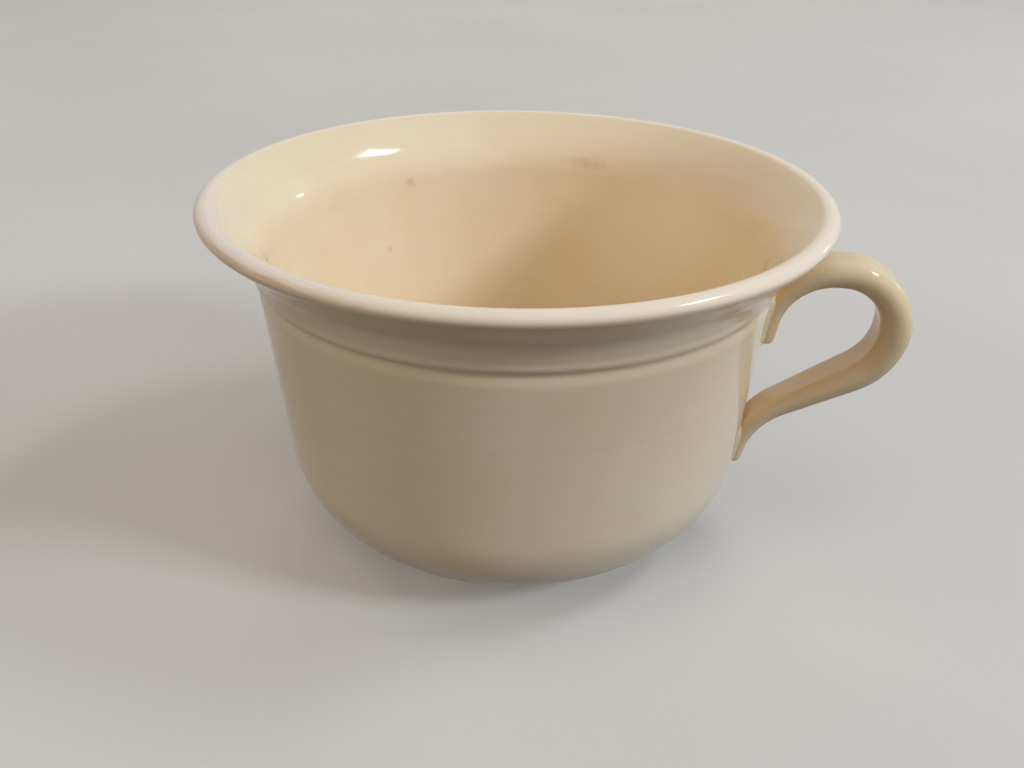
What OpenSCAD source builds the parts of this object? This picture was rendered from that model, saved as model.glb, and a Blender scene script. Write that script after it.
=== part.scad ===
// Chamber pot of glazed earthenware: a deep round bowl with a flared collar and a rounded lip,
// and one strap handle that is stuck to the wall with clay slip at both ends.
// Millimetres. The origin is the centre of the foot ring's resting face, +Z is up, and the
// handle points along +X.

/* [Bowl] */
// Diameter across the lip
rim_d = 230; // [215:1:245]
// Height from the foot's resting face to the top of the lip
pot_h = 138; // [130:1:150]
// Thickness of the wall and the base
wall_t = 5.2; // [4:0.1:7]
// Thickness of the rounded lip
lip_t = 6; // [5:0.1:8]
// Depth of the collar, from the top of the lip to the groove under it
collar_h = 27.4; // [24:0.2:32]
// How far the lip stands out past the wall at the groove
collar_flare = 18.4; // [14:0.2:24]
// Height of the collar's plain band, from the groove to the cove under the lip
band_h = 6.4; // [6:0.2:9]
// Lean of the band from upright, in degrees
band_lean = 20; // [10:1:25]
// Radius of the cove under the lip
cove_r = 16; // [8:0.5:18]
// Rise from the groove to where the inside begins to flare
ridge_rise = 6; // [2:0.2:9]
// Radius of the soft ridge where the inside begins to flare
ridge_r = 14; // [6:0.5:18]
// Lean of the wall from upright, in degrees
wall_taper = 5.3; // [2:0.1:8]
// Radius of the rounded heel's outside
heel_r = 40; // [32:1:46]
// Width of the turned groove
groove_w = 2; // [1:0.1:3]
// Depth of the turned groove
groove_depth = 0.8; // [0.3:0.1:1.5]
// Width of the bead above the groove
bead_w = 3; // [2:0.1:5]
// Height of the bead above the band
bead_h = 0.4; // [0.2:0.1:0.8]

/* [Foot] */
// Outside diameter of the foot ring
foot_d = 116; // [108:1:124]
// Width of the foot ring
foot_w = 7; // [5:0.5:10]
// Height of the base's underside above the foot's resting face
foot_h = 3.5; // [2.5:0.1:6]
// Radius of the foot ring's rounded edges
foot_edge_r = 1.5; // [0.5:0.1:2]

/* [Handle] */
// Height of the crown's middle above the groove
crown_rise = 3; // [0:0.2:5]
// Radius of the bend from the wall up to the crown
upper_bend_r = 23.2; // [20:0.2:26]
// Level run of the crown
crown_run = 2.4; // [0.4:0.2:8]
// Radius of the outer bend, from the crown to the outermost point
outer_bend_r = 19.8; // [17:0.2:23]
// Radius of the bend under the outermost point
under_bend_r = 24; // [20:0.2:28]
// Radius of the bend from the straight lower arm down to the wall
lower_bend_r = 30; // [24:1:36]
// Drop from the crown's middle to where the lower bend ends on the wall
handle_drop = 76.6; // [71:0.2:83]
// Length of the upper tongue that runs down the wall
upper_tongue = 7; // [4:0.5:10]
// Length of the lower tongue that runs down the wall
lower_tongue = 4.5; // [2:0.5:6]
// Width of the strap's flat between its rounded edges
strap_flat = 11; // [8:0.5:14]
// Thickness of the strap at the end of the upper tongue
upper_tip_t = 7.4; // [6:0.1:9]
// Thickness of the strap at the crown
crown_t = 9.2; // [7:0.1:11]
// Thickness of the strap at the outermost point
outer_t = 11.8; // [9:0.1:14]
// Thickness of the strap where the straight lower arm begins
arm_top_t = 10.4; // [8:0.1:12]
// Thickness of the strap where the straight lower arm ends
arm_end_t = 7; // [5:0.1:9]
// Thickness of the strap at the end of the lower tongue
lower_tip_t = 5.4; // [4:0.1:7]

/* [Slip joints] */
// Thickness of the slip between the strap and the wall
slip_t = 0.6; // [0.3:0.1:1]
// How far the slip squeezes out past the strap's edge
slip_margin = 1.2; // [0.6:0.1:2]
// Corner radius of the slip's outline
slip_corner_r = 6; // [3:0.5:8]

/* [Hidden] */
glaze_color = [0.91, 0.85, 0.72];
slip_color = [0.86, 0.79, 0.65];
$fn = 96;

// Degrees between the points of the bowl's arcs, and between the strap's rings on its bends
arc_step = 4;
bend_step = 6;
// Steps along a straight stretch of the strap, round one of its edges and across its flat
run_steps = 4;
edge_steps = 8;
flat_steps = 4;
// Steps over the bead
bead_steps = 8;

// Point on a circle, by angle in degrees
function on_circle(c, r, a) = c + r * [cos(a), sin(a)];

// Points of an arc from angle a0 to angle a1
function arc(c, r, a0, a1) =
    let (n = max(2, ceil(abs(a1 - a0) / arc_step)))
    [for (i = [0 : n]) on_circle(c, r, a0 + (a1 - a0) * i / n)];

// Places in the bowl's section, as [radius, height]. Slopes are degrees from upright.
lip_r = lip_t / 2;
groove_d = rim_d - 2 * collar_flare;
groove_z = pot_h - collar_h;
groove_pt = [groove_d / 2, groove_z];
wall_up = [sin(wall_taper), cos(wall_taper)];
wall_out = [cos(wall_taper), -sin(wall_taper)];
band_up = [sin(band_lean), cos(band_lean)];
band_out = [cos(band_lean), -sin(band_lean)];
lip_c = [rim_d / 2 - lip_r, pot_h - lip_r];
cove_c = groove_pt + band_h / cos(band_lean) * band_up + cove_r * band_out;
ridge_c = groove_pt + ridge_rise / cos(wall_taper) * wall_up + (ridge_r - wall_t) * wall_out;
groove_low = groove_pt - groove_w * wall_up;
groove_bottom = groove_pt - groove_depth * wall_out;
heel_z = foot_h + heel_r;
heel_c = [groove_d / 2 - (heel_r + (groove_z - heel_z) * sin(wall_taper)) / cos(wall_taper), heel_z];
heel_top_z = on_circle(heel_c, heel_r, -wall_taper)[1];
floor_z = foot_h + wall_t;
foot_out = foot_d / 2;
foot_in = foot_out - foot_w;

// Radius of the wall's outside below the groove, at height z
function line_r(z) = groove_d / 2 - (groove_z - z) * tan(wall_taper);
function wall_r(z) = z >= heel_top_z ? line_r(z)
    : heel_c[0] + sqrt(max(0, heel_r * heel_r - (z - heel_z) * (z - heel_z)));

// Slope of the straight flare from a curve of centre c and radius r to the lip. The lip's radius s
// is positive where the flare meets the lip on the same side as the curve, and negative otherwise.
function flare_slope(c, r, s) =
    let (d = lip_c - c)
    atan2(d[0], d[1]) + asin((r - s) / norm(d));
flare_out = flare_slope(cove_c, cove_r, -lip_r);
flare_in = flare_slope(ridge_c, ridge_r, lip_r);

// Outside of the collar: a bead just above the groove, the plain band, and the cove up to the flare
bead_line = [for (i = [0 : bead_steps])
    let (u = i / bead_steps)
    groove_pt + bead_w * u * band_up + bead_h * sin(180 * u) * band_out];
cove_line = arc(cove_c, cove_r, 180 - band_lean, 180 - flare_out);

// Half section of the bowl, from the foot up the outside to the lip and down the inside
foot_line = concat(
    [[foot_in, foot_h]],
    arc([foot_in + foot_edge_r, foot_edge_r], foot_edge_r, 180, 270),
    arc([foot_out - foot_edge_r, foot_edge_r], foot_edge_r, 270, 360));
heel_line = arc(heel_c, heel_r, -acos((foot_out - heel_c[0]) / heel_r), -wall_taper);
outside_line = concat(foot_line, heel_line, [groove_low, groove_bottom], bead_line, cove_line);
lip_line = arc(lip_c, lip_r, -flare_out, 180 - flare_in);
inside_line = concat(
    arc(ridge_c, ridge_r, 180 - flare_in, 180 - wall_taper),
    arc(heel_c, heel_r - wall_t, -wall_taper, -90));

// Centres and tangent points of the strap's path, as [distance from the pot's axis, height].
// It leaves the wall upwards, goes over the crown and returns down a straight arm to the wall.
crown_z = groove_z + crown_rise;
upper_seat_z = crown_z - upper_bend_r * (1 - sin(wall_taper));
upper_seat = [line_r(upper_seat_z) + slip_t, upper_seat_z];
upper_c = upper_seat + upper_bend_r * wall_out;
outer_c = [upper_c[0] + crown_run, crown_z - outer_bend_r];
under_c = outer_c + [outer_bend_r - under_bend_r, 0];
lower_end_z = crown_z - handle_drop;
lower_lean = lower_end_z >= heel_top_z ? -wall_taper : asin((lower_end_z - heel_z) / heel_r);
lower_seat = [wall_r(lower_end_z) + slip_t, lower_end_z];
lower_c = on_circle(lower_seat, lower_bend_r, lower_lean);
// The arm is the straight line that touches the under bend and the lower bend on opposite sides
arm_gap = lower_c - under_c;
arm_angle = atan2(arm_gap[1], arm_gap[0]) + acos((under_bend_r + lower_bend_r) / norm(arm_gap));
arm_top = on_circle(under_c, under_bend_r, arm_angle);
arm_end = on_circle(lower_c, -lower_bend_r, arm_angle);
upper_tip = upper_seat - upper_tongue * wall_up;
lower_tip = on_circle(lower_seat, lower_tongue, lower_lean - 90);

// A station on the path is [middle of the strap, angle of its outer side, thickness].
// turn gives those along a bend, and run those along a straight stretch without its last one.
function turn(c, r, a0, a1, side, t0, t1) =
    let (n = ceil(abs(a1 - a0) / bend_step))
    [for (i = [0 : n - 1])
        let (u = i / n, a = a0 + (a1 - a0) * u)
        [on_circle(c, r, a), side > 0 ? a : a + 180, t0 + (t1 - t0) * u]];
function run(p, q, a, t0, t1) =
    [for (i = [0 : run_steps - 1])
        let (u = i / run_steps)
        [p + (q - p) * u, a, t0 + (t1 - t0) * u]];

// The strap is this thick where the upper tongue turns off the wall and where the lower one lands
upper_seat_t = (upper_tip_t + crown_t) / 2;
lower_seat_t = (arm_end_t + lower_tip_t) / 2;
stations = concat(
    run(upper_tip, upper_seat, 180 - wall_taper, upper_tip_t, upper_seat_t),
    turn(upper_c, upper_bend_r, 180 - wall_taper, 90, 1, upper_seat_t, crown_t),
    run([upper_c[0], crown_z], [outer_c[0], crown_z], 90, crown_t, crown_t),
    turn(outer_c, outer_bend_r, 90, 0, 1, crown_t, outer_t),
    turn(under_c, under_bend_r, 0, arm_angle, 1, outer_t, arm_top_t),
    run(arm_top, arm_end, arm_angle, arm_top_t, arm_end_t),
    turn(lower_c, lower_bend_r, arm_angle + 180, 180 + lower_lean, -1, arm_end_t, lower_seat_t),
    run(lower_seat, lower_tip, lower_lean, lower_seat_t, lower_tip_t),
    [[lower_tip, lower_lean, lower_tip_t]]);

// Outline of the strap's section. Each point is [towards the outer side and across, as shares of
// half the thickness, and across as a share of half the flat].
flat_row = [for (i = [1 : flat_steps - 1]) 1 - 2 * i / flat_steps];
edge_row = [for (i = [0 : edge_steps]) 180 * i / edge_steps];
section = concat(
    [for (a = edge_row) [cos(a), sin(a), 1]],
    [for (u = flat_row) [-1, 0, u]],
    [for (a = edge_row) [-cos(a), -sin(a), -1]],
    [for (u = flat_row) [1, 0, -u]]);

// Where the strap would enter the wall it is pressed against the slip instead. A hair's breadth
// is left, so that the strap's flat facets don't cut into the slip's round face.
seat_gap = 0.05;
function pressed(p) =
    let (r = wall_r(p[2]) + slip_t + seat_gap)
    norm([p[0], p[1]]) >= r ? p : [sqrt(r * r - p[1] * p[1]), p[1], p[2]];

function ring(s) =
    [for (e = section)
        let (m = on_circle(s[0], s[2] / 2 * e[0], s[1]))
        pressed([m[0], s[2] / 2 * e[1] + strap_flat / 2 * e[2], m[1]])];

// Mean of a ring's points
function middle(r) = [for (p = r) 1 / len(r)] * r;

// Closed skin over a list of rings, with a fan of triangles at each end
module skin(rings) {
    n = len(rings[0]);
    last = len(rings) - 1;
    points = concat([for (r = rings) for (p = r) p], [middle(rings[0]), middle(rings[last])]);
    sides = [for (k = [0 : last - 1]) for (i = [0 : n - 1])
        let (j = (i + 1) % n)
        for (f = [[k * n + i, k * n + j, k * n + n + j], [k * n + i, k * n + n + j, k * n + n + i]]) f];
    first_cap = [for (i = [0 : n - 1]) [(last + 1) * n, (i + 1) % n, i]];
    last_cap = [for (i = [0 : n - 1]) [(last + 1) * n + 1, last * n + i, last * n + (i + 1) % n]];
    polyhedron(points, concat(sides, first_cap, last_cap));
}

// Everything inside the bowl's outside, filled
module outside_body() {
    rotate_extrude()
        polygon(concat([[0, foot_h]], outside_line, lip_line, [[0, lip_line[len(lip_line) - 1][1]]]));
}

// Rounded rectangle, width across and height up, centred
module rounded(w, h, r) {
    square([w - 2 * r, h], center = true);
    square([w, h - 2 * r], center = true);
    for (x = [-1, 1], y = [-1, 1])
        translate([x * (w / 2 - r), y * (h / 2 - r)])
            circle(r);
}

// Film of slip on the wall from height z0 to height z1 under a strap of thickness t
module slip_film(z0, z1, t) {
    low = z0 - slip_margin;
    high = z1 + slip_margin;
    wide = strap_flat + t + 2 * slip_margin;
    levels = ceil(high - low);
    face = [for (i = [0 : levels])
        let (z = low + (high - low) * i / levels)
        [wall_r(z) + slip_t, z]];
    difference() {
        intersection() {
            rotate_extrude()
                polygon(concat([[0, low]], face, [[0, high]]));
            translate([0, 0, (low + high) / 2])
                rotate([90, 0, 90])
                    linear_extrude(rim_d)
                        rounded(wide, high - low, slip_corner_r);
        }
        outside_body();
    }
}

// How far up the wall from its seat a strap of thickness t touches, after a bend of radius r
function touch(r, t) = sqrt((r + t / 2) * (r + t / 2) - r * r);

module bowl() {
    color(glaze_color)
        rotate_extrude()
            polygon(concat([[0, foot_h]], outside_line, lip_line, inside_line, [[0, floor_z]]));
}

module handle() {
    color(glaze_color)
        skin([for (s = stations) ring(s)]);
}

module upper_joint_slip() {
    color(slip_color)
        slip_film(upper_tip[1], upper_seat_z + touch(upper_bend_r, upper_seat_t), crown_t);
}

module lower_joint_slip() {
    color(slip_color)
        slip_film(lower_tip[1], lower_end_z + touch(lower_bend_r, lower_seat_t), arm_end_t);
}

bowl();
handle();
upper_joint_slip();
lower_joint_slip();
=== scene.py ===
"""Looks of a cream glazed chamber pot: the turned bowl, the strap handle and the slip at its two joints.

Sizes are millimetres, as in the solid model, and every mesh is scaled to metres when it is made.
The frame is the solid model's: the foot rests on z = 0 and the handle points along +X.
"""

import math

import bpy
import numpy as np
from mathutils import Matrix, Vector, noise


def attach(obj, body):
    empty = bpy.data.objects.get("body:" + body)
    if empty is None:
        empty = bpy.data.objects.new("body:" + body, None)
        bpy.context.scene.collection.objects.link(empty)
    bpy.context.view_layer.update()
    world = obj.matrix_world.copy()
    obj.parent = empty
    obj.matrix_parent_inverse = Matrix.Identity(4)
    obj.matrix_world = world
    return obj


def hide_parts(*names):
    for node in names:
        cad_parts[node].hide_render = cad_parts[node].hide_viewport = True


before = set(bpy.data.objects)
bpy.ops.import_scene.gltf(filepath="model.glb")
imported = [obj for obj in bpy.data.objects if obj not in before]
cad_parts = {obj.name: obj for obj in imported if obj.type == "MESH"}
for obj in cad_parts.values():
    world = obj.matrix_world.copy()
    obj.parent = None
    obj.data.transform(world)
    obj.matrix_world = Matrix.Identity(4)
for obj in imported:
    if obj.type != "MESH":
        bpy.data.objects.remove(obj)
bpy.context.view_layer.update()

MM = 0.001

# Sizes of the bowl
RIM_D = 230.0
POT_H = 138.0
WALL_T = 5.2
LIP_T = 5.5  # height of the lip's oval
LIP_W = 7.7  # width of the lip's oval
COLLAR_H = 27.4  # from the groove to the top of the lip
COLLAR_FLARE = 18.4  # how far the lip stands out past the wall at the groove
BAND_H = 6.4
BAND_LEAN = 20.0
COVE_R = 16.0  # hollow between the band and the lip
RIDGE_RISE = 4.0  # from the groove to where the inside begins to flare
RIDGE_R = 22.0
FLARE_R = 60.0  # swelling curve of the flare's inside
WALL_TAPER = 5.3
HEEL_R = 40.0
GROOVE_W = 5.0
GROOVE_RISE = 1.6  # from the groove's deepest line up to the band
GROOVE_DEPTH = 0.9
BEAD_W = 3.4
BEAD_H = 0.5
FOOT_D = 116.0
FOOT_W = 7.0
FOOT_H = 3.5
FOOT_EDGE_R = 1.5

# Sizes of the strap handle
CROWN_RISE = 3.0  # height of the crown's middle above the groove
UPPER_BEND_R = 23.2
CROWN_RUN = 2.4
OUTER_BEND_R = 19.8
UNDER_BEND_R = 24.0
LOWER_BEND_R = 30.0
HANDLE_DROP = 76.6  # from the crown down to the lower seat
UPPER_TONGUE = 7.0
LOWER_TONGUE = 4.5
STRAP_FLAT = 11.0  # width of the strap between its round edges
UPPER_TIP_T = 7.4
CROWN_T = 9.2
OUTER_T = 11.8
ARM_TOP_T = 10.4
ARM_END_T = 7.0
LOWER_TIP_T = 5.4
TIP_ROUND = 1.2  # rounding of the strap's two ends
SLIP_T = 0.6

# Hand-turned sway of the wall
SWAY = 0.22  # most that the wall strays inwards from true
SWAY_ROUND = 1.3  # more of it gives more waves round the pot
SWAY_TALL = 55.0  # height of one wave
SWAY_SPREAD = 1.6  # how fully the waves use the range
SWAY_FROM_Z = 6.0  # the foot is true up to this height
SWAY_GROWS = 20.0  # height over which the sway sets in
SWAY_FULL_R = 40.0  # the floor's middle is true

# Slip at the joints
FILLET_BLEND = 2.0  # reach of the hollow fillet
FILLET_TALLEST = 7.0
FILLET_HIDDEN = 0.5  # how deep the slip goes into the strap above it
FILLET_SUNK = 0.06  # how far its thin edge dips under the wall's glaze
FILLET_ROOT = 0.6  # how deep it is rooted in the wall
FILLET_THINNEST = 0.03
FILLET_BELOW = 4.0  # how far it reaches below the strap's tip
FILLET_ABOVE = 22.0  # how far the lower one reaches above its seat
FILLET_CLEAR = 0.3  # gap between the upper one and the groove
UPPER_FILLET_HALF_W = 17.0
LOWER_FILLET_HALF_W = 16.0

# Fineness of the meshes
ROUND_STEPS = 288  # facets round the bowl
SECTION_STEP = 0.7  # spacing of the points of the bowl's section
EDGE_SOFTNESS = 0.55  # how far the glaze rounds the section's corners
ARC_STEP = 3.0  # degrees between the points of an arc
FLARE_STEP = 1.0  # the same, for the long curve of the flare
FOOT_EDGE_STEP = 10.0  # the same, for the foot's small edges
BEAD_STEPS = 12
LIP_STEPS = 40
SEARCH_STEPS = 1080  # places tried round the lip for where a flare meets it
STRAP_STEP = 1.0  # spacing of the rings along the strap
STRAP_EASING = 6  # passes that even out its thickness
STRAP_EDGE_STEPS = 20  # facets round one edge of the strap
STRAP_FLAT_STEPS = 10  # facets across the strap's flat
TIP_STEPS = 6  # rings over the rounding of the strap's ends
FILLET_STEP = 0.3  # grid of the slip's mesh
FILLET_CLIMB = 0.1  # step in which the slip's height is sought
FILLET_EASING = 3  # passes that smooth it
TINY = 1e-6  # smallest difference that counts


def on_circle(c, r, deg):
    a = math.radians(deg)
    return np.array([c[0] + r * math.cos(a), c[1] + r * math.sin(a)])


def arc(c, r, a0, a1, step=ARC_STEP):
    n = max(2, math.ceil(abs(a1 - a0) / step))
    return [on_circle(c, r, a0 + (a1 - a0) * i / n) for i in range(n + 1)]


def lean_up(deg):
    """Unit step up a line that leans out from the vertical by an angle."""
    return np.array([math.sin(math.radians(deg)), math.cos(math.radians(deg))])


def lean_out(deg):
    """Unit step out from the same line."""
    return np.array([math.cos(math.radians(deg)), -math.sin(math.radians(deg))])


def run_along(line):
    """Distance of each point of a line from its first point, along the line."""
    return np.concatenate([[0], np.cumsum(np.linalg.norm(np.diff(line, axis=0), axis=1))])


def eased(values, passes):
    """The values with each drawn towards its neighbours on the first axis; changed in place, ends kept."""
    for _ in range(passes):
        values[1:-1] = 0.25 * values[:-2] + 0.5 * values[1:-1] + 0.25 * values[2:]
    return values


# Section of the bowl, as [radius, height]
groove_r = RIM_D / 2 - COLLAR_FLARE
groove_z = POT_H - COLLAR_H
taper = math.radians(WALL_TAPER)
wall_up = lean_up(WALL_TAPER)
wall_out = lean_out(WALL_TAPER)
groove_pt = np.array([groove_r, groove_z])
lip_half = np.array([LIP_W / 2, LIP_T / 2])
lip_c = np.array([RIM_D / 2, POT_H]) - lip_half
band_rise = BAND_H / math.cos(math.radians(BAND_LEAN))
cove_c = groove_pt + band_rise * lean_up(BAND_LEAN) + COVE_R * lean_out(BAND_LEAN)
ridge_c = groove_pt + RIDGE_RISE / math.cos(taper) * wall_up + (RIDGE_R - WALL_T) * wall_out
heel_z = FOOT_H + HEEL_R
heel_r = groove_r - (HEEL_R + (groove_z - heel_z) * math.sin(taper)) / math.cos(taper)
heel_c = np.array([heel_r, heel_z])
heel_top_z = heel_z - HEEL_R * math.sin(taper)
floor_z = FOOT_H + WALL_T
foot_out = FOOT_D / 2
foot_in = foot_out - FOOT_W


def wall_r(z):
    """Radius of the wall's outside below the groove, for an array of heights."""
    line = groove_r - (groove_z - z) * math.tan(taper)
    heel = heel_c[0] + np.sqrt(np.maximum(0, HEEL_R**2 - (z - heel_z) ** 2))
    return np.where(z >= heel_top_z, line, heel)


def lip_at(a):
    """Points of the lip's oval, for an array of angles round it."""
    return lip_c + lip_half * np.stack([np.cos(a), np.sin(a)], -1)


def halved(too_low, low=10.0, high=85.0):
    """The lean in degrees at which a test stops being true."""
    while high - low > TINY:
        lean = (low + high) / 2
        low, high = (lean, high) if too_low(lean) else (low, lean)
    return low


def outer_flare():
    """Lean of the straight line that touches the cove and the lip's underside, and its place on the lip."""
    around = np.linspace(-math.pi, math.pi / 2, SEARCH_STEPS + 1)
    oval = lip_at(around)

    def reach(lean):
        return (oval - cove_c) @ lean_out(lean) + COVE_R

    lean = halved(lambda lean: reach(lean).max() > 0)
    return lean, around[reach(lean).argmax()]


def inner_flare():
    """Middle and lower lean of the swelling curve from the ridge to the lip, and its place on the lip."""
    around = np.linspace(0, math.pi, SEARCH_STEPS + 1)
    oval = lip_at(around)

    def middle(lean):
        return ridge_c + (FLARE_R - RIDGE_R) * lean_out(lean)

    def span(lean):
        return np.hypot(*(oval - middle(lean)).T)

    lean = halved(lambda lean: span(lean).max() < FLARE_R)
    return middle(lean), lean, around[span(lean).argmax()]


def bowl_section():
    """Outline of the clay from the middle of the underside, over the lip, to the middle of the floor."""
    foot = [np.array([0, FOOT_H]), np.array([foot_in, FOOT_H])]
    foot += arc([foot_in + FOOT_EDGE_R, FOOT_EDGE_R], FOOT_EDGE_R, 180, 270, FOOT_EDGE_STEP)
    foot += arc([foot_out - FOOT_EDGE_R, FOOT_EDGE_R], FOOT_EDGE_R, 270, 360, FOOT_EDGE_STEP)
    heel_start = -math.degrees(math.acos((foot_out - heel_c[0]) / HEEL_R))
    heel = arc(heel_c, HEEL_R, heel_start, -WALL_TAPER)
    groove_low = groove_pt - GROOVE_W * wall_up
    groove_bottom = groove_pt - GROOVE_RISE * wall_up - GROOVE_DEPTH * wall_out
    bead = []
    for u in np.linspace(0, 1, BEAD_STEPS + 1):
        proud = BEAD_H * math.sin(math.pi * u)
        bead.append(groove_pt + BEAD_W * u * lean_up(BAND_LEAN) + proud * lean_out(BAND_LEAN))
    out_lean, lip_start = outer_flare()
    flare_c, in_lean, lip_end = inner_flare()
    cove = arc(cove_c, COVE_R, 180 - BAND_LEAN, 180 - out_lean)
    lip = list(lip_at(np.linspace(lip_start, lip_end, LIP_STEPS + 1)))
    flare_top = math.degrees(math.atan2(*(lip[-1] - flare_c)[::-1]))
    inside = arc(flare_c, FLARE_R, flare_top, 180 - in_lean, FLARE_STEP)
    inside += arc(ridge_c, RIDGE_R, 180 - in_lean, 180 - WALL_TAPER)
    inside += arc(heel_c, HEEL_R - WALL_T, -WALL_TAPER, -90)
    inside += [np.array([0, floor_z])]
    return foot + heel + [groove_low, groove_bottom] + bead + cove + lip + inside


def softened(points, step, softness):
    """The same line with points evenly spaced and its corners rounded over."""
    line = [points[0]]
    for p in points[1:]:
        if np.hypot(*(p - line[-1])) > TINY:
            line.append(p)
    line = np.array(line)
    run = run_along(line)
    parts = 4  # fine steps in one softness, and softnesses that the rounding reaches
    fine_step = softness / parts
    fine = np.linspace(0, run[-1], math.ceil(run[-1] / fine_step) + 1)
    dense = np.stack([np.interp(fine, run, line[:, i]) for i in (0, 1)], -1)
    reach = parts * parts
    weights = np.exp(-0.5 * (np.arange(-reach, reach + 1) / parts) ** 2)
    weights /= weights.sum()
    head = 2 * dense[0] - dense[reach:0:-1]
    tail = 2 * dense[-1] - dense[-2 : -reach - 2 : -1]
    padded = np.concatenate([head, dense, tail])
    smooth = np.stack([np.convolve(padded[:, i], weights, "valid") for i in (0, 1)], -1)
    at = np.linspace(0, run[-1], math.ceil(run[-1] / step) + 1)
    return np.stack([np.interp(at, fine, smooth[:, i]) for i in (0, 1)], -1)


def sway(x, y, z):
    """How far the turned clay strays from true at a place, always inwards."""
    a = math.atan2(y, x)
    wave = noise.noise(Vector((SWAY_ROUND * math.cos(a), SWAY_ROUND * math.sin(a), z / SWAY_TALL)))
    return -SWAY * (0.5 + 0.5 * max(-1, min(1, wave * SWAY_SPREAD)))


def mesh_object(name, points, faces, body="root"):
    """A smooth-shaded mesh from millimetre points, riding on a body."""
    mesh = bpy.data.meshes.new(name)
    mesh.from_pydata([tuple(float(c) * MM for c in p) for p in points], [], faces)
    mesh.validate()
    mesh.shade_smooth()
    obj = bpy.data.objects.new(name, mesh)
    bpy.context.scene.collection.objects.link(obj)
    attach(obj, body)
    return obj


def skinned(rings, first_middle, last_middle):
    """Points and faces of a skin over rings in turn, with each end closed to a middle point."""
    n = len(rings[0])
    points = [p for ring in rings for p in ring]
    faces = []
    for k in range(len(rings) - 1):
        for i in range(n):
            j = (i + 1) % n
            faces.append((k * n + i, k * n + j, (k + 1) * n + j, (k + 1) * n + i))
    first, last = len(points), len(points) + 1
    points += [first_middle, last_middle]
    last_ring = (len(rings) - 1) * n
    for i in range(n):
        j = (i + 1) % n
        faces.append((first, j, i))
        faces.append((last, last_ring + i, last_ring + j))
    return points, faces


def make_bowl():
    section = softened(bowl_section(), SECTION_STEP, EDGE_SOFTNESS)
    rings = []
    for r, z in section[1:-1]:
        freedom = min(1.0, max(0.0, (z - SWAY_FROM_Z) / SWAY_GROWS)) * min(1.0, r / SWAY_FULL_R)
        ring = []
        for i in range(ROUND_STEPS):
            a = 2 * math.pi * i / ROUND_STEPS
            x, y = math.cos(a), math.sin(a)
            out = r + sway(x, y, z) * freedom
            ring.append((out * x, out * y, z))
        rings.append(ring)
    points, faces = skinned(rings, (0, 0, section[0][1]), (0, 0, section[-1][1]))
    return mesh_object("glazed_bowl", points, faces)


# Path of the strap, as [distance out, height]
crown_z = groove_z + CROWN_RISE
upper_seat_z = crown_z - UPPER_BEND_R * (1 - math.sin(taper))
upper_seat = np.array([float(wall_r(upper_seat_z)) + SLIP_T, upper_seat_z])
upper_c = upper_seat + UPPER_BEND_R * wall_out
outer_c = np.array([upper_c[0] + CROWN_RUN, crown_z - OUTER_BEND_R])
under_c = outer_c + np.array([OUTER_BEND_R - UNDER_BEND_R, 0])
lower_end_z = crown_z - HANDLE_DROP
if lower_end_z >= heel_top_z:
    lower_lean = -WALL_TAPER
else:
    lower_lean = math.degrees(math.asin((lower_end_z - heel_z) / HEEL_R))
lower_seat = np.array([float(wall_r(lower_end_z)) + SLIP_T, lower_end_z])
lower_c = on_circle(lower_seat, LOWER_BEND_R, lower_lean)
arm_gap = lower_c - under_c
arm_turn = math.acos((UNDER_BEND_R + LOWER_BEND_R) / np.hypot(*arm_gap))
arm_angle = math.degrees(math.atan2(arm_gap[1], arm_gap[0]) + arm_turn)
arm_top = on_circle(under_c, UNDER_BEND_R, arm_angle)
arm_end = on_circle(lower_c, -LOWER_BEND_R, arm_angle)
upper_tip = upper_seat - UPPER_TONGUE * wall_up
lower_tip = on_circle(lower_seat, LOWER_TONGUE, lower_lean - 90)
upper_seat_t = (UPPER_TIP_T + CROWN_T) / 2
lower_seat_t = (ARM_END_T + LOWER_TIP_T) / 2


def strap_stations():
    """Middle of the strap, angle of its outer side and thickness, from the upper tip to the lower."""
    found = []

    def run(p, q, a, t0, t1):
        n = max(2, math.ceil(np.hypot(*(q - p)) / STRAP_STEP))
        for i in range(n):
            u = i / n
            found.append((p + (q - p) * u, a, t0 + (t1 - t0) * u))

    def turn(c, r, a0, a1, side, t0, t1):
        n = math.ceil(math.radians(abs(a1 - a0)) * r / STRAP_STEP)
        for i in range(n):
            u = i / n
            a = a0 + (a1 - a0) * u
            found.append((on_circle(c, r, a), a if side > 0 else a + 180, t0 + (t1 - t0) * u))

    crown_start = np.array([upper_c[0], crown_z])
    crown_end = np.array([outer_c[0], crown_z])
    run(upper_tip, upper_seat, 180 - WALL_TAPER, UPPER_TIP_T, upper_seat_t)
    turn(upper_c, UPPER_BEND_R, 180 - WALL_TAPER, 90, 1, upper_seat_t, CROWN_T)
    run(crown_start, crown_end, 90, CROWN_T, CROWN_T)
    turn(outer_c, OUTER_BEND_R, 90, 0, 1, CROWN_T, OUTER_T)
    turn(under_c, UNDER_BEND_R, 0, arm_angle, 1, OUTER_T, ARM_TOP_T)
    run(arm_top, arm_end, arm_angle, ARM_TOP_T, ARM_END_T)
    turn(lower_c, LOWER_BEND_R, arm_angle + 180, 180 + lower_lean, -1, ARM_END_T, lower_seat_t)
    run(lower_seat, lower_tip, lower_lean, lower_seat_t, LOWER_TIP_T)
    found.append((lower_tip, lower_lean, LOWER_TIP_T))
    middles = np.array([s[0] for s in found])
    angles = np.array([s[1] for s in found], float)
    thick = eased(np.array([s[2] for s in found], float), STRAP_EASING)
    return middles, angles, thick


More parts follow.
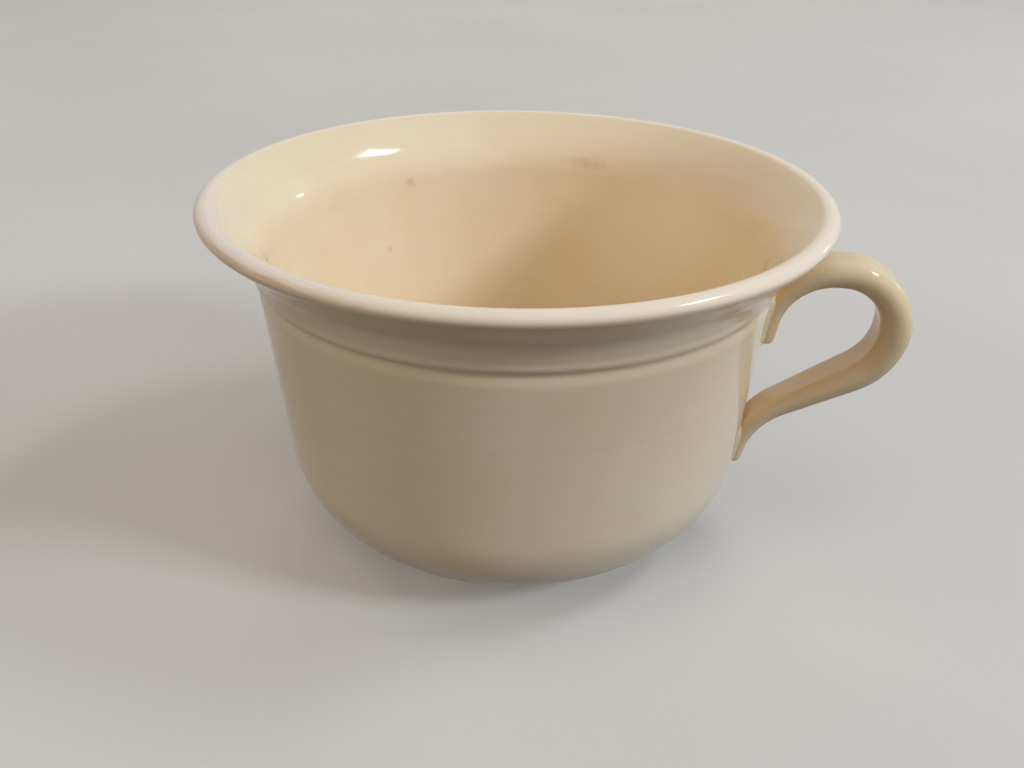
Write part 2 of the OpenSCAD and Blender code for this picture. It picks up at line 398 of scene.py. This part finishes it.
def strap_section():
    """Outline of the strap: shares of half its thickness, outwards and across, and of half its flat."""
    edge = np.linspace(0, math.pi, STRAP_EDGE_STEPS + 1)
    flat = 1 - 2 * np.arange(1, STRAP_FLAT_STEPS) / STRAP_FLAT_STEPS
    outline = [(math.cos(a), math.sin(a), 1.0) for a in edge]
    outline += [(-1.0, 0.0, u) for u in flat]
    outline += [(-math.cos(a), -math.sin(a), -1.0) for a in edge]
    outline += [(1.0, 0.0, -u) for u in flat]
    return np.array(outline)


strap_outline = strap_section()


def strap_ring(middle, angle, t):
    """One ring of the strap, pressed to the slip's face where it would sink into the wall."""
    out = on_circle((0, 0), 1, angle)
    ring = []
    for towards, across, flat in strap_outline:
        m = middle + out * t / 2 * towards
        y = t / 2 * across + STRAP_FLAT / 2 * flat
        seat = float(wall_r(m[1])) + SLIP_T
        if math.hypot(m[0], y) < seat:
            m = np.array([math.sqrt(seat**2 - y**2), m[1]])
        ring.append((m[0], y, m[1]))
    return ring


def tip_rings(stations, tip, beside):
    """Rings over the small rounding of one end of the strap, from the tip towards the station beside it."""
    middles, angles, thick = stations
    inwards = middles[beside] - middles[tip]
    inwards /= np.hypot(*inwards)
    rings = []
    for i in range(TIP_STEPS, -1, -1):
        a = math.radians(90 * i / TIP_STEPS)
        middle = middles[tip] + inwards * TIP_ROUND * (1 - math.sin(a))
        rings.append(strap_ring(middle, angles[tip], thick[tip] - 2 * TIP_ROUND * (1 - math.cos(a))))
    return rings


def set_attribute(obj, name, values):
    obj.data.attributes.new(name, "FLOAT", "POINT").data.foreach_set("value", values)


def make_handle(stations):
    middles, angles, thick = stations
    run = run_along(middles)
    tip_room = TIP_ROUND * 1.5
    between = np.flatnonzero((run > tip_room) & (run < run[-1] - tip_room))
    upper_end = tip_rings(stations, 0, 1)
    lower_end = tip_rings(stations, -1, -2)[::-1]
    rings = upper_end + [strap_ring(middles[k], angles[k], thick[k]) for k in between] + lower_end
    points, faces = skinned(rings, np.mean(rings[0], axis=0), np.mean(rings[-1], axis=0))
    obj = mesh_object("glazed_handle", points, faces)
    lengths = [0.0] * len(upper_end) + list(run[between]) + [run[-1]] * len(lower_end)
    girths = run_along(rings[len(rings) // 2])
    along = [length * MM for length in lengths for _ in girths]
    around = [girth * MM for _ in lengths for girth in girths]
    set_attribute(obj, "along_strap", along + [0.0, run[-1] * MM])
    set_attribute(obj, "around_strap", around + [0.0, 0.0])
    return obj


def strap_distance(points, stations):
    """Signed distance of points from the strap's skin, negative inside it."""
    middles, angles, thick = stations
    flat = points[:, [0, 2]]
    gap = flat[:, None, :] - middles[None, :, :]
    near = np.argmin((gap**2).sum(-1), axis=1)
    gap = gap[np.arange(len(points)), near]
    a = np.radians(angles[near])
    out = np.stack([np.cos(a), np.sin(a)], -1)
    towards = (gap * out).sum(-1)
    beyond = np.abs(gap[:, 0] * -out[:, 1] + gap[:, 1] * out[:, 0])
    past_end = np.where((near == 0) | (near == len(middles) - 1), beyond, 0)
    across = np.maximum(np.abs(points[:, 1]) - STRAP_FLAT / 2, 0)
    skin = np.hypot(across, towards) - thick[near] / 2
    return np.where(past_end > 0, np.hypot(np.maximum(skin, 0), past_end), skin)


def wall_patch(low, high, half_width):
    """Grid of places on the wall's outside round a joint, the way out from each, and the grid's shape."""
    zs = np.arange(low, high, FILLET_STEP)
    ys = np.arange(-half_width, half_width + FILLET_STEP / 2, FILLET_STEP)
    zz, yy = np.meshgrid(zs, ys, indexing="ij")
    z, y = zz.ravel(), yy.ravel()
    r = wall_r(z)
    x = np.sqrt(r**2 - y**2)
    lean = np.where(z >= heel_top_z, -taper, np.arcsin(np.clip((z - heel_z) / HEEL_R, -1, 1)))
    out = np.stack([np.cos(lean) * x / r, np.cos(lean) * y / r, np.sin(lean)], -1)
    return np.stack([x, y, z], -1), out, zz.shape


def fillet_rise(base, out, shape, stations):
    """Height of the slip above the wall: into the strap over it, and as a hollow fillet beside the strap."""
    rise = np.full(len(base), np.nan)
    before = np.full(len(base), -1.0)
    for i in range(round(FILLET_TALLEST / FILLET_CLIMB) + 1):
        h = i * FILLET_CLIMB
        d = strap_distance(base + out * h, stations)
        hollow = np.maximum(FILLET_BLEND - np.abs(h - d), 0) ** 2 / (4 * FILLET_BLEND)
        blend = np.minimum(h, d) - hollow
        clear = np.isnan(rise) & (blend >= 0)
        rise[clear] = np.maximum(0, h - FILLET_CLIMB * blend[clear] / (blend[clear] - before[clear]))
        rise[np.isnan(rise) & (d < -FILLET_HIDDEN)] = h
        before = np.minimum(blend, -TINY)
    rise = np.where(np.isnan(rise), 0, rise).reshape(shape)
    for _ in range(FILLET_EASING):
        eased(rise, 1)
        eased(rise.T, 1)
    return rise


def thick_patch(bottom, top, wet):
    """Points and faces of the wet part of a grid: its top, its underside and the edge all round."""
    cells = wet[:-1, :-1] | wet[1:, :-1] | wet[:-1, 1:] | wet[1:, 1:]
    framed = np.pad(cells, 1)
    used, points, faces = {}, [], []

    def corner(place, layer):
        key = (*place, layer is top)
        if key not in used:
            used[key] = len(points)
            points.append(layer[place])
        return used[key]

    for i, j in zip(*np.nonzero(cells)):
        ring = [(i, j), (i, j + 1), (i + 1, j + 1), (i + 1, j)]
        faces.append([corner(c, top) for c in ring])
        faces.append([corner(c, bottom) for c in reversed(ring)])
        beside = [framed[i, j + 1], framed[i + 1, j + 2], framed[i + 2, j + 1], framed[i + 1, j]]
        for a, b, covered in zip(ring, ring[1:] + ring[:1], beside):
            if not covered:
                faces.append([corner(b, top), corner(a, top), corner(a, bottom), corner(b, bottom)])
    return points, faces


def make_slip(name, low, high, half_width, stations):
    """A fillet of slip that rises from the wall to the strap all round the joint."""
    base, out, shape = wall_patch(low, high, half_width)
    rise = fillet_rise(base, out, shape, stations)
    strays = np.array([sway(*place) for place in base])
    top = base + out * (rise.ravel() + strays - FILLET_SUNK)[:, None]
    bottom = base + out * (strays - FILLET_ROOT)[:, None]
    points, faces = thick_patch(bottom.reshape(*shape, 3), top.reshape(*shape, 3), rise > FILLET_THINNEST)
    return mesh_object(name, points, faces)


class Tree:
    """Short words for building the nodes of one material or of the world."""

    def __init__(self, owner, shader):
        owner.use_nodes = True
        self.owner = owner
        self.tree = owner.node_tree
        self.shader = self.tree.nodes[shader]

    def node(self, kind, inputs=None, **settings):
        made = self.tree.nodes.new(kind)
        for key, value in settings.items():
            setattr(made, key, value)
        for key, value in (inputs or {}).items():
            self.feed(made.inputs[key], value)
        return made

    def feed(self, socket, value):
        if isinstance(value, bpy.types.NodeSocket):
            self.tree.links.new(value, socket)
        else:
            socket.default_value = value

    def place(self):
        return self.node("ShaderNodeTexCoord").outputs["Object"]

    def math(self, operation, a, b=0.0):
        return self.node("ShaderNodeMath", {0: a, 1: b}, operation=operation).outputs[0]

    def times(self, *values):
        """Product of any number of values."""
        product = values[0]
        for value in values[1:]:
            product = self.math("MULTIPLY", product, value)
        return product

    def length(self, a, b):
        """Length of a line with two given sides."""
        return self.math("SQRT", self.math("ADD", self.times(a, a), self.times(b, b)))

    def vector(self, operation, a, b):
        made = self.node("ShaderNodeVectorMath", {0: a, 1: b}, operation=operation)
        return made.outputs["Value" if operation == "DOT_PRODUCT" else "Vector"]

    def rescale(self, value, low, high, new_low, new_high, easing="LINEAR"):
        inputs = {"Value": value, "From Min": low, "From Max": high, "To Min": new_low, "To Max": new_high}
        return self.node("ShaderNodeMapRange", inputs, interpolation_type=easing).outputs["Result"]

    def ramp(self, value, low, high):
        """0 below low, 1 above high, smooth between; falls where low is above high."""
        if low <= high:
            return self.rescale(value, low, high, 0, 1, "SMOOTHSTEP")
        return self.rescale(value, high, low, 1, 0, "SMOOTHSTEP")

    def within(self, value, low, high, soft):
        """1 between low and high, fading out over a soft edge."""
        above = self.ramp(value, low - soft, low + soft)
        return self.times(above, self.ramp(value, high + soft, high - soft))

    def noise(self, vector, scale, detail=2.0, roughness=0.5):
        inputs = {"Vector": vector, "Scale": scale, "Detail": detail, "Roughness": roughness}
        return self.node("ShaderNodeTexNoise", inputs).outputs["Fac"]

    def mix(self, share, a, b):
        made = self.node("ShaderNodeMix", data_type="RGBA", clamp_factor=True)
        self.feed(made.inputs["Factor"], share)
        self.feed(made.inputs["A"], a)
        self.feed(made.inputs["B"], b)
        return [s for s in made.outputs if s.type == "RGBA"][0]

    def bump(self, height, distance, normal=None):
        """Normal of a skin with a relief of this many metres, laid over the relief that it already has."""
        made = self.node("ShaderNodeBump", {"Height": height, "Distance": distance, "Strength": 1.0})
        if normal is not None:
            self.feed(made.inputs["Normal"], normal)
        return made.outputs["Normal"]

    def finish(self, color, rough, normal):
        self.feed(self.shader.inputs["Base Color"], color)
        self.feed(self.shader.inputs["Roughness"], rough)
        self.feed(self.shader.inputs["Normal"], normal)
        return self.owner


def material_tree(name):
    return Tree(bpy.data.materials.new(name), "Principled BSDF")


def srgb(*channels):
    """Linear colour of an 8-bit display colour."""
    shares = [c / 255 for c in channels]
    return (*[c / 12.92 if c <= 0.04045 else ((c + 0.055) / 1.055) ** 2.4 for c in shares], 1.0)


# Colours of the glaze and the clay
CREAM = srgb(236, 214, 179)
PALE_CREAM = srgb(238, 219, 188)
WARM_CREAM = srgb(231, 201, 156)
POOLED = srgb(212, 176, 126)
THIN_ON_LIP = srgb(244, 226, 206)
LILAC_WEAR = srgb(222, 210, 206)
# brown of worn glaze, also painted warm shade on the outer side of the lip's left
BROWN_WEAR_AND_SHADE = srgb(203, 158, 122)
STAIN = srgb(196, 138, 66)
IRON_SPECK = srgb(150, 110, 70)
BARE_CLAY = srgb(205, 186, 156)
WORN_CLAY = srgb(196, 172, 156)

# Brown marks fired into the inside glaze: azimuth and height of each, half width, half height, strength
STAINS = (
    (130.5, 113.5, 3.0, 2.6, 0.30),
    (139.0, 85.3, 2.0, 1.6, 0.24),
    (79.0, 120.6, 13.0, 4.0, 0.26),
)

# How the bowl's glaze changes from place to place
TURNING_STRETCH = (1.2, 1.2, 330.0)  # turning lines run long round the pot and close together up it
COLLAR_FROM_R = 93.5  # below the lip, what is wider than this is the collar and the top of the wall
COLLAR_FADE = 1.5
POOL_LOW = 2.2  # glaze pools from this far below the groove's upper edge
POOL_HIGH = 0.4  # to this far below it
# The lip's left: worn glaze on its top, and worn glaze with painted warm shade on its outer side.
WEAR_AND_SHADE_FROM = -165.0  # azimuths of the worn part of the lip
WEAR_AND_SHADE_TO = -108.0
WEAR_AND_SHADE_FADE = 12.0
BARE_Z = 1.1  # the foot ring's bare clay fades into glaze below this height
BARE_FADE = 0.5


def glaze_base(t, place, ground=CREAM, pale=PALE_CREAM):
    """Softly mottled glaze with a few faint specks: its colour, its roughness and the bump of its skin."""
    broad = t.noise(place, 16, 3)
    patchy = t.noise(place, 55, 4, 0.6)
    color = t.mix(t.ramp(broad, 0.35, 0.65), ground, pale)
    color = t.mix(t.times(t.ramp(patchy, 0.45, 0.75), 0.12), color, WARM_CREAM)
    cells = t.node("ShaderNodeTexVoronoi", {"Vector": place, "Scale": 120.0, "Randomness": 1.0})
    chance = t.node("ShaderNodeSeparateColor", {"Color": cells.outputs["Color"]})
    rare = t.ramp(chance.outputs[0], 0.95, 0.96)
    grain = t.times(chance.outputs[1], 0.04)
    dot = t.ramp(t.math("SUBTRACT", cells.outputs["Distance"], grain), 0.03, 0.005)
    color = t.mix(t.times(dot, rare, 0.35), color, IRON_SPECK)
    rough = t.rescale(t.noise(place, 30, 5, 0.65), 0.3, 0.7, 0.05, 0.09)
    skin = t.bump(t.noise(place, 140, 2), 0.01 * MM)
    skin = t.bump(t.noise(place, 700, 2), 0.004 * MM, skin)
    return color, rough, skin


def stained(t, place, z, radius, color):
    """The colour with the brown marks on the inside of the wall."""
    inside = t.ramp(radius, (COLLAR_FROM_R + 1) * MM, COLLAR_FROM_R * MM)
    for azimuth, height, half_width, half_height, strength in STAINS:
        a = math.radians(azimuth)
        outwards = t.vector("DOT_PRODUCT", place, (math.cos(a), math.sin(a), 0))
        same_side = t.ramp(outwards, 50 * MM, 60 * MM)
        sideways = t.vector("DOT_PRODUCT", place, (-math.sin(a), math.cos(a), 0))
        sideways = t.math("DIVIDE", sideways, half_width * MM)
        upwards = t.math("DIVIDE", t.math("SUBTRACT", z, height * MM), half_height * MM)
        rag = t.times(t.math("SUBTRACT", t.noise(place, 260, 4, 0.6), 0.5), 1.6)
        reach = t.math("ADD", t.length(sideways, upwards), rag)
        color = t.mix(t.times(t.ramp(reach, 1.1, 0.1), same_side, inside, strength), color, STAIN)
    return color


def lip_glaze(t, place, bearing, z, radius, color, rough, skin):
    """Colour, roughness and bump with the glaze thin on the lip and worn on the lip's left, and warm shade
    painted on the outer side of the lip's left.
    """
    lip_low = POT_H - LIP_T
    lip_inner = RIM_D / 2 - LIP_W
    lip_rise = t.math("SUBTRACT", z, lip_c[1] * MM)
    roll = t.math("ARCTAN2", lip_rise, t.math("SUBTRACT", radius, lip_c[0] * MM))
    high = t.ramp(z, (lip_low - 0.7) * MM, (lip_low + 0.5) * MM)
    on_lip = t.times(high, t.ramp(radius, (lip_inner + 1.2) * MM, (lip_inner + 2.7) * MM))
    near_lip = t.times(high, t.ramp(radius, (lip_inner - 1.3) * MM, (lip_inner + 0.7) * MM))
    color = t.mix(t.times(on_lip, t.ramp(roll, -0.3, 0.5), 0.8), color, THIN_ON_LIP)

    left = t.within(bearing, math.radians(WEAR_AND_SHADE_FROM), math.radians(WEAR_AND_SHADE_TO), math.radians(WEAR_AND_SHADE_FADE))
    drawn_out = t.node("ShaderNodeCombineXYZ", {0: t.times(bearing, 9.0), 1: t.times(roll, 3.2)})
    streak = t.noise(drawn_out.outputs[0], 1.0, 5, 0.65)
    top_wear = t.times(near_lip, left, t.ramp(roll, 0.6, 1.2), t.ramp(streak, 0.38, 0.60))
    color = t.mix(t.times(top_wear, 0.75), color, LILAC_WEAR)
    # Brown streaks on the outer side of the lip's left: partly worn glaze, partly painted warm shade.
    side_wear_and_shade = t.times(on_lip, left, t.within(roll, -0.5, 0.65, 0.3), t.ramp(streak, 0.35, 0.65))
    color = t.mix(t.times(side_wear_and_shade, 0.55), color, BROWN_WEAR_AND_SHADE)
    worn = t.math("MAXIMUM", top_wear, side_wear_and_shade)
    rough = t.math("ADD", rough, t.times(worn, 0.22))
    skin = t.bump(t.times(worn, t.noise(place, 900, 3)), 0.01 * MM, skin)
    return color, rough, skin


def bowl_material():
    """Cream glaze with faint turning lines and a darker groove, and bare clay under the foot ring."""
    t = material_tree("bowl_glaze")
    place = t.place()
    x, y, z = t.node("ShaderNodeSeparateXYZ", {0: place}).outputs
    radius = t.length(x, y)
    bearing = t.math("ARCTAN2", y, x)
    color, rough, skin = glaze_base(t, place)

    turning = t.noise(t.vector("MULTIPLY", place, TURNING_STRETCH), 1.0, 3, 0.6)
    color = t.mix(t.times(t.ramp(turning, 0.45, 0.75), 0.07), color, POOLED)
    skin = t.bump(turning, 0.01 * MM, skin)

    lip_low = POT_H - LIP_T
    wide = t.ramp(radius, COLLAR_FROM_R * MM, (COLLAR_FROM_R + COLLAR_FADE) * MM)
    below_lip = t.ramp(z, (lip_low + 0.5) * MM, (lip_low - 1.5) * MM)
    rough = t.math("ADD", rough, t.times(wide, below_lip, 0.06))
    pool = t.within(z, (groove_z - POOL_LOW) * MM, (groove_z - POOL_HIGH) * MM, 0.8 * MM)
    color = t.mix(t.times(pool, wide, 0.15), color, POOLED)

    color = stained(t, place, z, radius, color)
    color, rough, skin = lip_glaze(t, place, bearing, z, radius, color, rough, skin)

    bare = t.ramp(z, BARE_Z * MM, (BARE_Z - BARE_FADE) * MM)
    color = t.mix(bare, color, t.mix(t.noise(place, 400, 3), BARE_CLAY, WORN_CLAY))
    rough = t.math("ADD", rough, t.times(bare, 0.6))
    return t.finish(color, rough, skin)


def handle_material():
    """Warmer glaze with streaks drawn out along the strap."""
    t = material_tree("handle_glaze")
    color, rough, skin = glaze_base(t, t.place(), WARM_CREAM, CREAM)
    length = t.node("ShaderNodeAttribute", attribute_name="along_strap").outputs["Fac"]
    girth = t.node("ShaderNodeAttribute", attribute_name="around_strap").outputs["Fac"]
    drawn_out = t.node("ShaderNodeCombineXYZ", {0: t.times(length, 14.0), 1: t.times(girth, 260.0)})
    streaks = t.noise(drawn_out.outputs[0], 1.0, 3, 0.6)
    color = t.mix(t.times(t.ramp(streaks, 0.45, 0.75), 0.25), color, POOLED)
    skin = t.bump(streaks, 0.04 * MM, skin)
    return t.finish(color, rough, skin)


def slip_material():
    """Glaze that has gathered unevenly over the slip."""
    t = material_tree("slip_glaze")
    place = t.place()
    color, rough, skin = glaze_base(t, place)
    gathered = t.ramp(t.noise(place, 180, 3), 0.35, 0.7)
    color = t.mix(t.times(gathered, 0.25), color, POOLED)
    skin = t.bump(t.noise(place, 320, 3), 0.03 * MM, skin)
    return t.finish(color, rough, skin)


# The pot
bowl = make_bowl()
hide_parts("bowl")
bowl.data.materials.append(bowl_material())

stations = strap_stations()
handle = make_handle(stations)
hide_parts("handle")
handle.data.materials.append(handle_material())

slip_finish = slip_material()
upper_top = groove_z - GROOVE_W - FILLET_CLEAR
lower_top = lower_end_z + FILLET_ABOVE
for name, node, tip, top, half_width in (
    ("upper_fillet", "upper_joint_slip", upper_tip, upper_top, UPPER_FILLET_HALF_W),
    ("lower_fillet", "lower_joint_slip", lower_tip, lower_top, LOWER_FILLET_HALF_W),
):
    slip = make_slip(name, tip[1] - FILLET_BELOW, top, half_width, stations)
    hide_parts(node)
    slip.data.materials.append(slip_finish)

# Studio sizes in metres, and its brightness
FLOOR_HALF = 2.4
FLOOR_GLOW = 0.24  # added to the floor where it is seen directly
BACKDROP_LIGHT = 0.08  # what the backdrop sheds on the pot
BACKDROP_SEEN = 0.60  # how bright it looks
LAMP_DISTANCE = 3.0
LAMP_AIM = Vector((0, 0, 0.08))

# Softboxes: azimuth, elevation, size, watts and tint, and whether the glaze mirrors the lamp's shape
LAMPS = {
    "window_glint": (11, 52, (0.78, 0.36), 17.0, (0.92, 1.0, 1.08), True),
    "far_glint": (44, 10, (0.25, 0.20), 1.0, (0.95, 1.0, 1.05), True),
    "day_light": (346, 30, (0.6, 0.5), 43.0, (0.86, 1.0, 1.15), False),
    "side_light": (30, 40, (1.2, 0.8), 7.0, (0.88, 1.0, 1.13), False),
    "overhead_light": (265, 70, (2.0, 2.0), 12.0, (1.0, 0.90, 0.78), False),
    "rear_light": (95, 28, (1.5, 1.0), 16.0, (1.0, 0.97, 0.92), False),
    "back_light": (150, 40, (1.5, 1.0), 9.0, (1.0, 0.95, 0.88), False),
    "front_light": (300, 32, (1.2, 0.8), 9.0, (1.0, 0.91, 0.82), False),
    "room_light": (215, 25, (2.0, 1.5), 20.0, (1.0, 0.89, 0.78), False),
}


def seen_directly(t):
    """1 for rays from the camera, mirrors and glass, 0 for the rays that carry light onto the object."""
    path = t.node("ShaderNodeLightPath").outputs
    mirrored = t.math("MAXIMUM", path["Is Glossy Ray"], path["Is Transmission Ray"])
    return t.math("MAXIMUM", path["Is Camera Ray"], mirrored)


def floor_material():
    """A pale floor, darker for the rays that carry light onto the pot."""
    t = material_tree("pale_floor")
    cloudy = t.ramp(t.noise(t.place(), 3, 3), 0.3, 0.7)
    pale = t.mix(cloudy, srgb(188, 184, 179), srgb(192, 188, 183))
    seen = seen_directly(t)
    t.feed(t.shader.inputs["Base Color"], t.mix(seen, srgb(84, 81, 76), pale))
    t.feed(t.shader.inputs["Emission Color"], pale)
    t.feed(t.shader.inputs["Emission Strength"], t.times(seen, FLOOR_GLOW))
    t.shader.inputs["Roughness"].default_value = 0.85
    return t.owner


def make_floor():
    signs = [(-1, -1), (1, -1), (1, 1), (-1, 1)]
    mesh = bpy.data.meshes.new("floor")
    mesh.from_pydata([(FLOOR_HALF * i, FLOOR_HALF * j, 0) for i, j in signs], [], [(0, 1, 2, 3)])
    mesh.materials.append(floor_material())
    floor = bpy.data.objects.new("floor", mesh)
    bpy.context.scene.collection.objects.link(floor)


def make_lamp(name, azimuth, elevation, size, power, color, mirrored):
    """A softbox that looks at the middle of the pot."""
    a, e = math.radians(azimuth), math.radians(elevation)
    back = Vector((math.cos(e) * math.cos(a), math.cos(e) * math.sin(a), math.sin(e)))
    data = bpy.data.lights.new(name, "AREA")
    data.shape = "RECTANGLE"
    data.size, data.size_y = size
    data.energy = power
    data.color = color
    lamp = bpy.data.objects.new(name, data)
    lamp.location = LAMP_AIM + back * LAMP_DISTANCE
    lamp.rotation_mode = "QUATERNION"
    lamp.rotation_quaternion = (-back).to_track_quat("-Z", "Y")
    lamp.visible_glossy = mirrored
    bpy.context.scene.collection.objects.link(lamp)


def make_backdrop():
    """A pale world that looks brighter than the light that it sheds."""
    world = bpy.data.worlds.new("studio")
    bpy.context.scene.world = world
    t = Tree(world, "Background")
    strength = t.rescale(seen_directly(t), 0, 1, BACKDROP_LIGHT, BACKDROP_SEEN)
    t.feed(t.shader.inputs["Strength"], strength)
    t.shader.inputs["Color"].default_value = (1.0, 0.99, 0.98, 1)


make_floor()
for name, settings in LAMPS.items():
    make_lamp(name, *settings)
make_backdrop()

# The photo's camera, solved from the rim, the groove and the handle
PHOTO_FOCAL_PX = 1000.0
PHOTO_WIDTH_PX = 1024.0
SENSOR_W = 36.0
CAMERA_OUT = 356.8
CAMERA_Z = 250.4
CAMERA_PITCH = math.radians(28.81)
CAMERA_ROLL = math.radians(0.77)
CAMERA_YAW = math.radians(-0.15)
HANDLE_SWING = math.radians(9.0)  # how far the handle points towards the camera from the picture's right


def make_camera():
    ahead = math.cos(CAMERA_PITCH)
    forward = Vector((math.sin(CAMERA_YAW) * ahead, math.cos(CAMERA_YAW) * ahead, -math.sin(CAMERA_PITCH)))
    level = forward.cross(Vector((0, 0, 1))).normalized()
    upright = level.cross(forward)
    right = level * math.cos(CAMERA_ROLL) + upright * math.sin(CAMERA_ROLL)
    up = upright * math.cos(CAMERA_ROLL) - level * math.sin(CAMERA_ROLL)
    turned = Matrix((right, up, -forward)).transposed().to_4x4()
    placed = Matrix.Translation((0, -CAMERA_OUT * MM, CAMERA_Z * MM))
    data = bpy.data.cameras.new("camera")
    data.sensor_fit = "HORIZONTAL"
    data.sensor_width = SENSOR_W
    data.lens = PHOTO_FOCAL_PX / PHOTO_WIDTH_PX * SENSOR_W
    data.clip_start = 0.01
    camera = bpy.data.objects.new("camera", data)
    camera.matrix_world = Matrix.Rotation(HANDLE_SWING, 4, "Z") @ placed @ turned
    bpy.context.scene.collection.objects.link(camera)
    bpy.context.scene.camera = camera


make_camera()

bpy.context.scene.view_settings.view_transform = "Standard"
